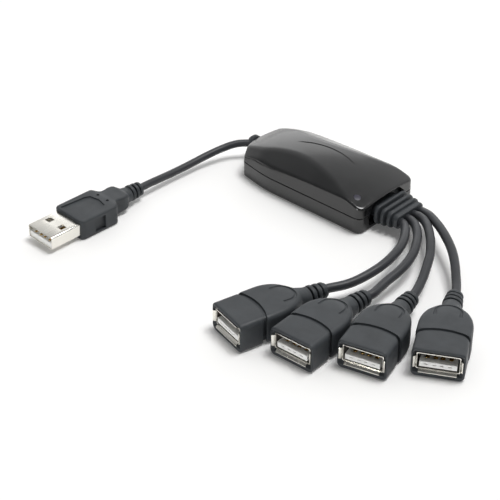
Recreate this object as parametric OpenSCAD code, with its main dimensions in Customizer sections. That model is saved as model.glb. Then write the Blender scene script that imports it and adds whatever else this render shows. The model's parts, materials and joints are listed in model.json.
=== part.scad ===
// Four-port hub on short leads: a gem-shaped housing, one short lead with a plug, and four
// short leads that fan out to overmoulded sockets. Everything lies on z = 0.
// The housing's long axis is X, and its four socket leads leave at +X.

/* [Housing] */
// Half width of the housing
hub_half_w = 14.4; // [13.5:0.1:16]
// Height of the domed top at its highest point
hub_h = 14.8; // [14.5:0.1:16]
// Radius of the dome
dome_r = 90; // [85:1:110]
// Height of the side walls' top edge at the middle of the housing
side_h = 10.9; // [10.5:0.1:11.5]
// Slope of the crescent facets above the side walls
facet_slope = 32; // [28:1:34]
// Thickness of the shells
wall = 1.5; // [1.2:0.1:1.8]
// Height of the joint between the two shells
split_z = 5.8; // [5.5:0.1:6]

/* [Leads] */
// Diameter of the four socket leads
lead_d = 3; // [2.6:0.1:3.2]
// Diameter of the lead with the plug
upstream_d = 2.6; // [2.2:0.1:3]
// Distance between neighbouring leads where they leave the housing
lead_pitch = 3.3; // [3.3:0.1:3.6]

/* [Sockets] */
// Half width of a socket's front block
port_half_w = 7.95; // [7.8:0.05:8.1]
// Height of a socket
port_h = 9.9; // [9.6:0.1:10.4]
// Length of a socket with its strain relief
port_len = 36; // [35.5:0.5:37]
// Height of the middle of the socket's opening
mouth_z = 5.2; // [5:0.05:5.6]

/* [Plug] */
// Half width of the plug's grip
grip_half_w = 7.15; // [7:0.05:7.5]
// Height of the plug's grip
grip_h = 7.2; // [7:0.1:7.4]
// Length of the metal shell in front of the grip
shell_out = 11.75; // [11.75:0.05:12.2]

/* [Hidden] */
$fn = 48;
eps = 0.01;
gap = 0.05;

soft_black = "#26282b";
hard_black = "#1f2123";
nickel = "#d9d6cb";
gold = "#c99a3a";
white = "#f2f2ee";
green = "#1f5a34";
copper = "#b8733a";
dark_chip = "#161616";
silver = "#b9bcc0";

// housing
dome_x = -1.75;
flank_x = -16;
flank_r = 45;
lead_end_x = 26.1;
side_lean = 6;
facet_rise = 1;
lean_in = (side_h - split_z) * tan(side_lean);
relief_end_x = 35.7;
relief_z = 5.2;
arch_half_w = 9.2;
arch_top_z = 9.7;
arch_low_z = 1.6;
flange_x = 22.2;
boot_z = 5.8;
boot_start = [-32.9, 0, boot_z];
boot_angle = 220;
boot_r = 2.1;
boot_end_r = 1.8;
boot_len = (relief_end_x + boot_start.x + boot_end_r * sin(boot_angle)) / -cos(boot_angle);
boot_end = boot_start + boot_len * [cos(boot_angle), sin(boot_angle), 0];
boot_flange_x = -29;
boot_flange_r = 2.5;
lip = 0.9;
lip_h = 1;
lip_gap = 0.2;

// circuit board and what is on it
board_z = 4.2;
board_t = 1.2;
board_top = board_z + board_t;
board_x = [-22, 21.4];
board_half_w = 11;
lens_at = [21.4, -10.3];
led_at = [20.4, -9.6];
lens_z = 9.2;
lens_r = 1.2;
post_at = [[-17, -8], [-17, 8], [16, -7], [16, 7]];
wire_r = 0.45;
wire_z = board_top + wire_r + 0.1;
pad_x = 19.4;

// sockets: the middle of each mouth, which way its rear points, and how far its strain relief turns
port_at = [[32.9, -85.6], [54.3, -80.8], [72.6, -70.6], [90.2, -57.4]];
port_angle = [75.7, 92.5, 104.8, 118.8];
relief_turn = [0, -7, -5, -2];
cord_z = 4.95;
leaf_half_w = 8.25;
leaf_y = 14;
leaf_r = 15;
neck_half_w = 3.2;
neck_r = 3.5;
neck_flare = 0.5;
neck_y = 28.5;
flat_y = 17;
mouth_w = 12.5;
mouth_h = 5.12;
sheet = 0.3;
shell_len = 13.4;
flare = 0.75;
flare_y = 0.7;
lip_out = 0.25;
side_lip_h = 3.9;
top_lip_w = 11.3;
tongue_w = 11.1;
tongue_t = 1.84;
tongue_drop = 0.87;
tongue_y = 0.4;
base_y = 10.2;
contact_x = [-3.5, -1, 1, 3.5];
contact_w = 1;
strip_t = 0.25;
slot_w = 1.5;
slot_t = 0.95;
slot_y = 2.4;
groove_w = 1.4;
groove_t = 0.6;
groove_r = 17;
groove_y = 10.6;
mould_y = 13.6;
mould_len = 7.4;
mould_w = 8.6;
mould_h = 6;
mould_z = 5.15;

// plug: where its lead enters the strain relief, and which way its rear points
plug_end = [-43.7, -46.8];
plug_angle = 87;
plug_len = 42.8;
plug_z = 3.8;
shell_w = 12;
shell_h = 4.5;
shell_in = 7;
insulator_t = 1.95;
plug_contact_z = plug_z - shell_h / 2 + sheet + gap + insulator_t - strip_t;
block_end_y = 27.4;
waist_half_w = 4;
tail_half_w = 4.5;
tail_mid_y = 32;
tail_end_y = 34.8;
cone_y = 36;
plug_neck_y = 38;
recess_y = [17.3, 21.8];

// routes of the cords, from the housing outwards
lead_routes = [
  [[39.4, -7.6, 6.1], [41.7, -10.5, 6.6], [44, -14, 6.9], [45.9, -18, 7], [47.1, -22.2, 7],
   [47.8, -26.6, 6.8], [48, -30.9, 6.5], [47.6, -35, 6.1], [46.9, -38.9, 5.7], [45.8, -42.6, 5.3],
   [44.4, -45.7, 5.1], [43, -48, 5], [42.2, -49.5, 5]],
  [[38.7, -2.7, 5.7], [41.4, -4.6, 6.2], [44.1, -7.3, 6.6], [46.7, -10.5, 6.9], [48.9, -14, 7],
   [50.9, -17.7, 7], [52.3, -21.6, 6.8], [53.2, -25.7, 6.5], [53.6, -29.8, 6.1], [53.6, -33.9, 5.7],
   [53.7, -36.8, 5.4], [53.9, -39.6, 5.1], [54.1, -42.3, 5]],
  [[38.6, 1.1, 5.8], [41.4, -0.2, 6.3], [44.1, -2.2, 6.7], [46.6, -4.5, 7], [49, -7.1, 7.2],
   [51.4, -9.8, 7.3], [53.5, -12.6, 7.2], [55.5, -15.5, 6.9], [57.3, -18.7, 6.6], [59, -22.2, 6.2],
   [60.6, -25.6, 5.7], [62.1, -29.4, 5.2], [63.2, -32.6, 5], [63.6, -34.2, 5]],
  [[38.8, 4.2, 5.8], [42, 2.8, 6.4], [45.1, 1, 6.8], [48, -0.8, 7.1], [50.8, -2.7, 7.3],
   [53.6, -4.7, 7.4], [56.3, -6.7, 7.3], [58.9, -8.8, 7.1], [61.4, -11.1, 6.8], [63.8, -13.6, 6.4],
   [66.1, -16.2, 5.9], [68.3, -18.9, 5.4], [70.3, -21.4, 5.1], [71.9, -23.7, 5]]];
upstream_route = [
  [-36.3, -3, 5.8], [-37.7, -4.7, 5.7], [-38.9, -6.7, 5.4], [-39.9, -9, 5], [-40.8, -11.7, 4.6],
  [-41.5, -14.6, 4.2], [-42.1, -17.6, 3.8], [-42.5, -20.8, 3.5], [-42.8, -24.4, 3.3], [-43.1, -28, 3.2],
  [-43.3, -31.6, 3.2], [-43.5, -35.2, 3.3], [-43.6, -38.9, 3.5], [-43.7, -42.8, 3.7]];

function port_names(kind) = [for (i = [1:4]) str("port_", i, "_", kind)];

// ---- outlines and tubes -------------------------------------------------------------------

function unit(v) = v / norm(v);
function heading(a) = [cos(a), sin(a), 0];

// the arc that rounds corner b, between its neighbours a and c, with radius b[2]
function round_corner(a, b, c, steps = 5) =
  let (p = [b.x, b.y],
       u = unit([a.x, a.y] - p),
       v = unit([c.x, c.y] - p),
       half = acos(u * v) / 2,
       centre = p + unit(u + v) * b[2] / sin(half),
       start = p + u * b[2] / tan(half) - centre,
       turn = (u.x * v.y - u.y * v.x > 0 ? -1 : 1) * (180 - 2 * half),
       a0 = atan2(start.y, start.x))
  [for (k = [0:steps]) centre + b[2] * [cos(a0 + turn * k / steps), sin(a0 + turn * k / steps)]];

// an outline whose corners are [x, y, radius], or [x, y] where the corner stays sharp
function rounded(corners) =
  let (n = len(corners))
  [for (i = [0:n - 1]) each (len(corners[i]) == 3
    ? round_corner(corners[(i + n - 1) % n], corners[i], corners[(i + 1) % n])
    : [corners[i]])];

function box_outline(w, h, r) = rounded([[-w / 2, -h / 2, r], [w / 2, -h / 2, r],
                                         [w / 2, h / 2, r], [-w / 2, h / 2, r]]);

// an outline of its right half, mirrored to make both halves
function mirrored(right) = concat(right, [for (i = [len(right) - 1:-1:0]) [-right[i].x, right[i].y]]);

// extrudes a plan outline between two heights
module slab(points, z0, z1) {
  translate([0, 0, z0]) linear_extrude(z1 - z0) polygon(points);
}

// extrudes a section in X and Z along Y
module along_y(y0, y1) {
  translate([0, y1, 0]) rotate([90, 0, 0]) linear_extrude(y1 - y0) children();
}

// extrudes a section in Y and Z along X
module along_x(x0, x1) {
  translate([x0, 0, 0]) rotate([90, 0, 90]) linear_extrude(x1 - x0) children();
}

module rod_y(y0, y1, r, z) {
  translate([0, y1, z]) rotate([90, 0, 0]) cylinder(r = r, h = y1 - y0);
}

// a tube along a route, whose ends are square to the directions first and last
module tube(route, r, first, last, sides = 8) {
  n = len(route);
  tangent = [for (i = [0:n - 1])
    i == 0 ? first : i == n - 1 ? last : unit(unit(route[i + 1] - route[i]) + unit(route[i] - route[i - 1]))];
  rings = [for (i = [0:n - 1])
    let (side = unit(cross(tangent[i], [0, 0, 1])), up = cross(side, tangent[i]))
    each [for (k = [0:sides - 1]) route[i] + r * (cos(360 * k / sides) * side + sin(360 * k / sides) * up)]];
  walls = [for (i = [0:n - 2]) for (k = [0:sides - 1])
    let (a = i * sides + k, b = i * sides + (k + 1) % sides)
    each [[a, b, a + sides], [b, b + sides, a + sides]]];
  caps = [[for (k = [sides - 1:-1:0]) k], [for (k = [0:sides - 1]) (n - 1) * sides + k]];
  polyhedron(rings, concat(walls, caps), convexity = 6);
}

// ---- housing ------------------------------------------------------------------------------

function hub_outline(inset) =
  let (w = hub_half_w - inset, front = lead_end_x - inset)
  rounded([[front, -w, 2.5 - inset], [front, w, 2.5 - inset], [flank_x, w, flank_r],
           [-28 + inset, 12 - inset, 2.5 - inset], [-33.3 + inset, 0, 14],
           [-28 + inset, -12 + inset, 2.5 - inset], [flank_x, -w, flank_r]]);

// a block whose underside is the plane z = 0, for cutting facets
module cutter() {
  translate([-60, -60, 0]) cube([120, 120, 40]);
}

// the housing's outer form, or the same form set in by a wall's thickness
module hub_form(inset) {
  difference() {
    intersection() {
      slab(hub_outline(inset), 0, hub_h);
      translate([dome_x, 0, hub_h - dome_r]) sphere(r = dome_r - inset, $fn = 180);
    }
    for (side = [-1, 1]) {
      // the side, the flank and the upstream wall lean in above the seam
      for (wall = [[0, hub_half_w, 90], [-28, 12, 101.3], [-28, 12, 156.2]])
        translate([wall.x, side * wall.y, split_z]) rotate([0, 0, side * wall.z])
          rotate([0, 90 - side_lean, 0]) translate([0, 0, -inset]) cutter();
      // the crescent above it, which cuts deeper towards the upstream end
      translate([0, side * (hub_half_w - lean_in), side_h - inset / cos(facet_slope)])
        rotate([-side * facet_slope, -facet_rise, 0]) cutter();
      // the steep facet on each upstream corner
      translate([-28, side * 12, 7.4 - inset / cos(47)]) rotate([0, 0, side * 120]) rotate([0, 47, 0])
        cutter();
    }
    // the slope at the upstream end
    translate([-32.3, 0, 8.4 - inset / cos(26)]) rotate([0, -26, 0]) cutter();
  }
}

// the arched hole for the strain relief of the four leads
module relief_hole() {
  along_x(lead_end_x - 2 * wall, lead_end_x + 1)
    polygon(rounded([[-arch_half_w, arch_low_z, 1], [arch_half_w, arch_low_z, 1],
                     [arch_half_w, 6.8, 2], [6, arch_top_z, 3], [-6, arch_top_z, 3],
                     [-arch_half_w, 6.8, 2]]));
}

module boot_hole() {
  translate([boot_flange_x - 4, 0, boot_start.z]) rotate([0, 90, 0]) cylinder(r = boot_r + gap, h = 6);
}

module half_space(z0, z1) {
  translate([-50, -50, z0]) cube([100, 100, z1 - z0]);
}

module top_cover() {
  color(hard_black) difference() {
    intersection() {
      hub_form(0);
      half_space(split_z, hub_h + 1);
    }
    hub_form(wall);
    relief_hole();
    boot_hole();
    translate([lens_at.x, lens_at.y, split_z]) cylinder(r = lens_r + gap, h = hub_h);
  }
}

module bottom_cover() {
  color(hard_black) {
    difference() {
      union() {
        intersection() {
          hub_form(0);
          half_space(0, split_z);
        }
        slab(hub_outline(wall + lip_gap), wall, split_z + lip_h);
      }
      slab(hub_outline(wall + lip), wall, hub_h);
      relief_hole();
      boot_hole();
      translate([flange_x - gap, -arch_half_w - 2, wall]) cube([2, 2 * arch_half_w + 4, hub_h]);
      translate([boot_flange_x - 2, -boot_flange_r - lip_gap, boot_start.z - boot_flange_r - lip_gap])
        cube([4, 2 * (boot_flange_r + lip_gap), hub_h]);
    }
    for (p = post_at) translate([p.x, p.y, wall]) cylinder(r = 1.5, h = board_z - wall);
  }
}

// ---- strain reliefs of the housing --------------------------------------------------------

// one flat slab across the relief, centred on the leads' height
module relief_slab(x0, x1, w, h, r) {
  translate([0, 0, relief_z]) along_x(x0, x1) polygon(box_outline(w, h, r));
}

module hub_relief() {
  ribs = [[26.9, 8.4, 6.9], [29.4, 8.3, 6.4], [31.8, 8, 5.8]];
  rib_len = 1.4;
  back_slab_x = 33.9;
  color(soft_black) {
    relief_slab(flange_x, flange_x + 1.6, 2 * arch_half_w + 1.4, 6.2, 1);
    relief_slab(flange_x + 1.6, back_slab_x, 12.8, 4, 1.6);
    for (rib = ribs) relief_slab(rib[0], rib[0] + rib_len, 2 * rib[1], rib[2], 2.6);
    relief_slab(back_slab_x, relief_end_x, 14.2, 4.8, 1.8);
  }
}

// a round piece that starts at a place and runs along a heading in plan
module boot_piece(at, angle, r0, r1, len) {
  translate([at.x, at.y, boot_z]) rotate([0, 90, angle]) cylinder(r1 = r0, r2 = r1, h = len);
}

// runs out of the housing through a collar, to a knob that bends towards the lead
module upstream_relief() {
  flange_len = 1;
  inner_x = boot_flange_x + flange_len;
  collar_len = 0.4;
  knob_r = 3;
  cone_len = 1.3;
  color(soft_black) {
    boot_piece([inner_x, 0], 180, boot_flange_r, boot_flange_r, flange_len);
    boot_piece([inner_x, 0], 180, boot_r, boot_r, inner_x - boot_start.x);
    boot_piece([boot_start.x + 0.6, 0], 180, knob_r - 0.1, knob_r - 0.1, collar_len);
    boot_piece(boot_start, 200, knob_r - 0.4, knob_r, 0.5);
    boot_piece(boot_start + 0.5 * heading(200), 200, knob_r, knob_r, 0.6);
    boot_piece(boot_end - cone_len * heading(boot_angle), boot_angle, 2.6, boot_end_r, cone_len);
  }
}

// ---- inside the housing -------------------------------------------------------------------

module circuit_board() {
  color(green) slab([[board_x[0], -8], [board_x[0] + 5, -board_half_w], [board_x[1], -board_half_w],
                     [board_x[1], board_half_w], [board_x[0] + 5, board_half_w], [board_x[0], 8]],
                    board_z, board_top);
}

module controller_chip() {
  color(dark_chip) translate([-3, 0, board_top + 0.9]) cube([10.2, 5.3, 1.6], center = true);
  color(silver) for (side = [-1, 1], k = [0:13])
    translate([-3 + (k - 6.5) * 0.65, side * 3.3, board_top + 0.2]) cube([0.3, 1.4, 0.4], center = true);
}

module crystal() {
  color(silver) translate([8, -6, board_top]) {
    linear_extrude(0.6) polygon(box_outline(11.2, 4.8, 2.3));
    linear_extrude(3.5) polygon(box_outline(10.2, 3.8, 1.85));
  }
}

module electrolytic_capacitor() {
  color(silver) translate([-15, 4, board_top]) {
    translate([-2.6, -2.6, 0]) cube([5.2, 5.2, 1]);
    cylinder(r = 2.5, h = 5.2);
  }
}

// small parts on the board, each a block with a size at a place
module chips_at(places, size) {
  for (p = places) translate([p.x, p.y, board_top]) translate([-size.x / 2, -size.y / 2, 0]) cube(size);
}

module ceramic_capacitors() {
  color("#a98f6a") chips_at([[-10, -6], [-10, 8], [-3, 7], [4, 7], [9, 5], [-17, -3]], [1.6, 0.8, 0.8]);
}

module resistors() {
  color("#20242a") chips_at([[-7, -6], [-4, -6], [0, -7], [0, 9], [13, 4]], [1.6, 0.8, 0.5]);
}

module indicator_led() {
  color(white) translate([led_at.x - 0.6, led_at.y - 0.6, board_top]) cube([1.2, 1.2, 0.8]);
}

module indicator_lens() {
  color("#4a4a78") intersection() {
    translate([lens_at.x, lens_at.y, lens_z]) cylinder(r = lens_r, h = hub_h);
    translate([dome_x, 0, hub_h - dome_r]) sphere(r = dome_r, $fn = 180);
  }
}

// the four thin wires of each socket lead, side by side
function lead_wire_y() = [for (i = [-1.5:1.5], k = [-1.5:1.5]) (i * lead_pitch + k * 0.82) * 1.25];

module lead_wires() {
  color(copper) for (y = lead_wire_y())
    translate([pad_x, y, wire_z]) rotate([0, 90, 0]) cylinder(r = wire_r, h = flange_x - pad_x, $fn = 16);
}

module upstream_wires() {
  color(copper) for (k = [-1.5:1.5])
    translate([boot_flange_x + 1, k * 1.1, wire_z])
      rotate([0, 90, 0]) cylinder(r = wire_r, h = -20 - boot_flange_x - 1, $fn = 16);
}

module solder_joints() {
  module joint(x, y) {
    translate([x, y, board_top]) cylinder(r = wire_r, h = wire_z - board_top - wire_r);
  }
  color(silver) {
    for (y = lead_wire_y()) joint(pad_x + 0.8, y);
    for (k = [-1.5:1.5]) joint(-20.6, k * 1.1);
  }
}

// ---- sockets ------------------------------------------------------------------------------

// draws in a socket's own frame: mouth at y = 0, lead at y = port_len
module at_port(i) {
  translate([port_at[i - 1].x, port_at[i - 1].y, 0]) rotate([0, 0, port_angle[i - 1] - 90]) children();
}

// plan outline: a straight front block, then a leaf that rounds in to the neck
function port_outline() =
  let (last = acos((neck_half_w - leaf_half_w + leaf_r) / leaf_r))
  mirrored(concat(
    [[port_half_w, 0], [port_half_w, groove_y - 1.2], [leaf_half_w, groove_y - 0.6]],
    [for (k = [0:6]) let (a = last * k / 6)
      [leaf_half_w - leaf_r * (1 - cos(a)), leaf_y + leaf_r * sin(a)]],
    [[neck_half_w, neck_y]]));

// section from the side: level, then curving in evenly to the neck
function port_profile() =
  let (run = neck_y - flat_y, fall = port_h / 2 - neck_half_w)
  concat([[0, 0]],
         [for (k = [0:4]) [flat_y + run * k / 4, fall * pow(k / 4, 2)]],
         [for (k = [4:-1:0]) [flat_y + run * k / 4, port_h - fall * pow(k / 4, 2)]],
         [[0, port_h]]);

module port_body() {
  cone_len = 30;
  intersection() {
    slab(port_outline(), 0, port_h);
    along_x(-10, 10) polygon(port_profile());
    translate([0, 0, port_h / 2]) {
      along_y(0, neck_y) polygon(box_outline(2 * leaf_half_w, port_h, 1.6));
      translate([0, neck_y, 0]) rotate([90, 0, 0])
        cylinder(r1 = neck_r, r2 = neck_r + cone_len * neck_flare, h = cone_len, $fn = 72);
    }
  }
}

// the shallow groove round the body, bowed away from the mouth
module port_groove() {
  difference() {
    translate([0, groove_y - groove_r, -1]) difference() {
      cylinder(r = groove_r + groove_w / 2, h = port_h + 2, $fn = 96);
      translate([0, 0, -1]) cylinder(r = groove_r - groove_w / 2, h = port_h + 4, $fn = 96);
    }
    translate([0, 0, port_h / 2]) along_y(-50, 50)
      polygon(box_outline(2 * (port_half_w - groove_t), port_h - 2 * groove_t, 1.4));
  }
}

// the pocket that the metal shell sits in, with a flared mouth
module shell_pocket() {
  w = mouth_w / 2 + sheet + gap;
  h = mouth_h / 2 + sheet + gap;
  wide = flare + 0.15;
  translate([0, 0, mouth_z]) {
    along_y(-1, shell_len + gap) square([2 * w, 2 * h], center = true);
    intersection() {
      slab([[-w, flare_y + 0.4], [-w - wide, -eps], [w + wide, -eps], [w, flare_y + 0.4]], -9, 9);
      along_x(-9, 9) polygon([[flare_y + 0.4, -h], [-eps, -h - wide], [-eps, h + wide], [flare_y + 0.4, h]]);
    }
  }
}

// turns the strain relief of socket i about its root
module at_relief(i) {
  translate([0, neck_y, 0]) rotate([0, 0, relief_turn[i - 1]]) translate([0, -neck_y, 0]) children();
}

module port_grip(i) {
  rings = [[neck_y - 1, 29.6, 3.15], [30, 31.3, 3.2], [32.1, 33.4, 2.95], [34.1, 35.4, 2.7]];
  color(soft_black) at_port(i) difference() {
    union() {
      port_body();
      at_relief(i) {
        rod_y(neck_y - 2, port_len, 2.2, cord_z);
        for (ring = rings) rod_y(ring[0], ring[1], ring[2], cord_z);
      }
    }
    port_groove();
    shell_pocket();
    translate([0, 0, mould_z]) along_y(shell_len - 1, mould_y + mould_len + gap)
      square([mould_w + 2 * gap, mould_h + 2 * gap], center = true);
  }
}

// one lip of the shell's mouth, bent outwards, along an edge that is len long
module flared_lip(len) {
  translate([-len / 2, 0, 0]) along_x(0, len)
    polygon([[flare_y, 0], [-lip_out, flare], [-lip_out, flare + sheet], [flare_y, sheet]]);
}

module port_shell(i) {
  color(nickel) at_port(i) translate([0, 0, mouth_z]) {
    difference() {
      along_y(flare_y, shell_len) square([mouth_w + 2 * sheet, mouth_h + 2 * sheet], center = true);
      along_y(0, shell_len + 1) square([mouth_w, mouth_h], center = true);
    }
    for (turn = [0, 180]) rotate([0, turn, 0]) {
      translate([0, 0, mouth_h / 2]) flared_lip(top_lip_w);
      translate([mouth_w / 2, 0, 0]) rotate([0, 90, 0]) flared_lip(side_lip_h);
    }
  }
}

module port_tongue(i) {
  tongue_top = tongue_t / 2 - tongue_drop;
  color(white) at_port(i) translate([0, 0, mouth_z]) difference() {
    union() {
      translate([-tongue_w / 2, tongue_y, -tongue_t / 2 - tongue_drop])
        cube([tongue_w, base_y, tongue_t]);
      along_y(base_y, shell_len) square([mouth_w - 2 * gap, mouth_h - 2 * gap], center = true);
    }
    for (x = contact_x) {
      translate([x - slot_w / 2, slot_y, tongue_top - slot_t]) cube([slot_w, base_y - slot_y, slot_t + 1]);
      translate([x - contact_w / 2, 0, tongue_top - slot_t]) cube([contact_w, 20, strip_t]);
    }
  }
}

// height of the contact strips' underside
function contact_z() = mouth_z + tongue_t / 2 - tongue_drop - slot_t;

// the sprung part of the four contacts, seen from the side
module port_contacts(i) {
  color(gold) at_port(i) for (x = contact_x)
    translate([x - contact_w / 2, 0, contact_z()]) along_x(0, contact_w)
      polygon([[9, 0.45], [9, 0.65], [3.9, 1.45], [2.7, 0.95], [2.7, 0.75], [3.9, 1.25]]);
}

module port_terminals(i) {
  color(gold) at_port(i) for (x = contact_x)
    translate([x - contact_w / 2, 0, contact_z()]) along_x(0, contact_w)
      polygon([[4, 0], [mould_y + 2, 0], [mould_y + 2, strip_t], [4, strip_t]]);
}

module port_inner_mould(i) {
  color(white) at_port(i) difference() {
    translate([0, 0, mould_z]) along_y(mould_y, mould_y + mould_len)
      square([mould_w, mould_h], center = true);
    for (x = contact_x)
      translate([x - contact_w / 2, 0, contact_z()]) cube([contact_w, mould_y + 2, strip_t]);
  }
}

// the point where lead i leaves the housing's strain relief
function lead_exit(i) = [relief_end_x, (i - 2.5) * lead_pitch, relief_z];

// the point where lead i enters its socket's strain relief
function lead_entry(i) =
  let (a = port_angle[i - 1], b = a + relief_turn[i - 1], run = port_len - neck_y)
  concat(port_at[i - 1] + neck_y * [cos(a), sin(a)] + run * [cos(b), sin(b)], cord_z);

module lead(i) {
  color(soft_black) tube(concat([lead_exit(i)], lead_routes[i - 1], [lead_entry(i)]), lead_d / 2,
                         [1, 0, 0], -heading(port_angle[i - 1] + relief_turn[i - 1]));
}

// ---- plug and its lead --------------------------------------------------------------------

module upstream_cord() {
  color(soft_black) tube(concat([boot_end], upstream_route, [concat(plug_end, plug_z)]), upstream_d / 2,
                         heading(boot_angle), -heading(plug_angle));
}

// draws in the plug's own frame: tip at y = 0, lead at y = plug_len
module at_plug() {
  translate([plug_end.x, plug_end.y, 0]) rotate([0, 0, plug_angle - 90]) translate([0, -plug_len, 0])
    children();
}

// one side of the plug's grip in plan, from the shell to the neck, with the corners' radii
plug_side = [[grip_half_w, shell_out, 1.5], [grip_half_w, block_end_y, 1.4],
             [waist_half_w, block_end_y + 1, 0.8], [tail_half_w, tail_mid_y, 6],
             [tail_half_w - 0.2, tail_end_y, 0.9], [3.1, cone_y, 0.3], [2.8, plug_neck_y, 0.2]];

function plug_outline() = rounded(concat(
  plug_side, [for (i = [len(plug_side) - 1:-1:0]) let (c = plug_side[i]) [-c.x, c.y, c.z]]));

module plug_grip() {
  rings = [[38, 2.8], [39.9, 2.65], [41.6, 2.45]];
  profile = [[shell_out, 0], [block_end_y, 0], [block_end_y + 2, 0.9], [33, 1.5], [plug_neck_y, 1.7],
             [plug_neck_y, 5.9], [cone_y, 6.1], [tail_end_y - 0.4, 6.9], [block_end_y + 1.2, 7],
             [block_end_y, grip_h], [shell_out, grip_h]];
  recess = [1, grip_h - 1.3];
  color(soft_black) at_plug() difference() {
    union() {
      intersection() {
        slab(plug_outline(), 0, grip_h);
        along_x(-10, 10) polygon(profile);
        translate([0, 0, grip_h / 2]) along_y(shell_out, 40)
          polygon(box_outline(2 * grip_half_w, grip_h, 0.75));
      }
      rod_y(plug_neck_y - 1, plug_len, 2, plug_z);
      for (ring = rings) rod_y(ring[0], ring[0] + 1.2, ring[1], plug_z);
    }
    for (side = [-1, 1]) translate([side * (grip_half_w + 0.1) - 1, recess_y[0], recess[0]])
      cube([2, recess_y[1] - recess_y[0], recess[1] - recess[0]]);
    translate([0, 0, plug_z]) along_y(shell_out - 1, shell_out + shell_in + gap)
      square([shell_w + 2 * gap, shell_h + 2 * gap], center = true);
    translate([0, 0, plug_z]) along_y(shell_out + shell_in - 1, shell_out + shell_in + mould_len)
      square([10 + 2 * gap, 5 + 2 * gap], center = true);
  }
}

module plug_shell() {
  hole = 2.3;
  hole_x = 3.1;
  color(nickel) at_plug() translate([0, 0, plug_z]) difference() {
    along_y(0, shell_out + shell_in) polygon(box_outline(shell_w, shell_h, 0.5));
    along_y(-1, shell_out + shell_in + 1) polygon(box_outline(shell_w - 2 * sheet, shell_h - 2 * sheet, 0.2));
    for (side = [-1, 1]) translate([side * hole_x - hole / 2, 5.4, -shell_h]) cube([hole, hole, 2 * shell_h]);
  }
}

// the block inside the shell, with a channel for each contact
module plug_insulator() {
  w = shell_w - 2 * (sheet + gap);
  h = shell_h - 2 * (sheet + gap);
  back_y = shell_out + 3;
  color(white) at_plug() translate([0, 0, plug_contact_z]) difference() {
    translate([-w / 2, 0, strip_t - insulator_t]) {
      translate([0, 0.3, 0]) cube([w, back_y - 0.3, insulator_t]);
      translate([0, back_y, 0]) cube([w, shell_out + shell_in - back_y, h]);
    }
    for (x = contact_x) translate([x - contact_w / 2, -1, 0]) cube([contact_w, 40, strip_t]);
  }
}

module plug_contacts() {
  color(gold) at_plug() for (x = contact_x)
    translate([x - contact_w / 2, 1, plug_contact_z]) cube([contact_w, shell_out + shell_in + 1, strip_t]);
}

module plug_inner_mould() {
  color(white) at_plug() difference() {
    translate([0, 0, plug_z]) along_y(shell_out + shell_in, shell_out + shell_in + mould_len - 2 * gap)
      square([10, 5], center = true);
    for (x = contact_x) translate([x - contact_w / 2, 0, plug_contact_z])
      cube([contact_w, shell_out + shell_in + 2, strip_t]);
  }
}

// ---- one line per node --------------------------------------------------------------------

top_cover();
bottom_cover();
hub_relief();
upstream_relief();
indicator_lens();
indicator_led();
circuit_board();
controller_chip();
crystal();
electrolytic_capacitor();
ceramic_capacitors();
resistors();
lead_wires();
upstream_wires();
solder_joints();
upstream_cord();
plug_grip();
plug_shell();
plug_insulator();
plug_contacts();
plug_inner_mould();
for (i = [1:4]) {
  lead(i);
  port_grip(i);
  port_shell(i);
  port_tongue(i);
  port_contacts(i);
  port_terminals(i);
  port_inner_mould(i);
}
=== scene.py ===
"""Looks for a four-port hub on short leads: a gem-shaped housing, one lead with a plug, and
four leads that fan out to overmoulded sockets. Lengths are in millimetres until a mesh is made.
A name that part.scad also has, in small letters, stands for the same value there."""

import math

import bmesh
import bpy
import numpy as np
from mathutils import Matrix, Vector
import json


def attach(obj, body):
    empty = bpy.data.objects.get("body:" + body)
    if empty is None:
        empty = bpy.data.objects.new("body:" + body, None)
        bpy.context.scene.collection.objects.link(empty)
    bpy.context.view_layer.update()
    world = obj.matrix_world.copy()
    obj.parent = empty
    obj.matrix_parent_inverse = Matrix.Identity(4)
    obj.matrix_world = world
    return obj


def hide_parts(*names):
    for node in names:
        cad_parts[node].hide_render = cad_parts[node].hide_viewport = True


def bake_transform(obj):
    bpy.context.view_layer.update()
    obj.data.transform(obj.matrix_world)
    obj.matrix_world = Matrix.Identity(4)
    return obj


MM = 0.001
TURN = 2 * math.pi
X_AXIS = np.array([1.0, 0, 0])
Y_AXIS = np.array([0, 1.0, 0])

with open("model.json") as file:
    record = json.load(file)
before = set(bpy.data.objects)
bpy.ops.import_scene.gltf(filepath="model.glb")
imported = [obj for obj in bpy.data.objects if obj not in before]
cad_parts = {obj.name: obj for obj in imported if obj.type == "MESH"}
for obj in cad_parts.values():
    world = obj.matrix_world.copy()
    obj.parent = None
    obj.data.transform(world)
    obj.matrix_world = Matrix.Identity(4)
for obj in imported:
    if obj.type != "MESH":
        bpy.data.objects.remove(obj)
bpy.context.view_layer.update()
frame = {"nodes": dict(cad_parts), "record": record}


def add_object(name, data):
    """A new object in the scene."""
    obj = bpy.data.objects.new(name, data)
    bpy.context.scene.collection.objects.link(obj)
    return obj


# ---- camera --------------------------------------------------------------------------------
# Places are in metres.

CAMERA_AT = Vector((0.29707, -0.36664, 0.29303))
CAMERA_TO = Vector((0.00525, -0.0448, 0.0))
CAMERA_ROLL = math.radians(0.31)
CAMERA_LENS = 116.22
CAMERA_SENSOR_W = 36

camera = add_object("camera", bpy.data.cameras.new("camera"))
bpy.context.scene.camera = camera
camera.data.sensor_width = CAMERA_SENSOR_W
camera.data.lens = CAMERA_LENS
forward = (CAMERA_TO - CAMERA_AT).normalized()
right = forward.cross(Vector((0, 0, 1))).normalized()
up = right.cross(forward)
right, up = (
    right * math.cos(CAMERA_ROLL) + up * math.sin(CAMERA_ROLL),
    up * math.cos(CAMERA_ROLL) - right * math.sin(CAMERA_ROLL),
)
facing = Matrix((right, up, -forward)).transposed().to_4x4()
camera.matrix_world = Matrix.Translation(CAMERA_AT) @ facing

# ---- mesh helpers --------------------------------------------------------------------------

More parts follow.
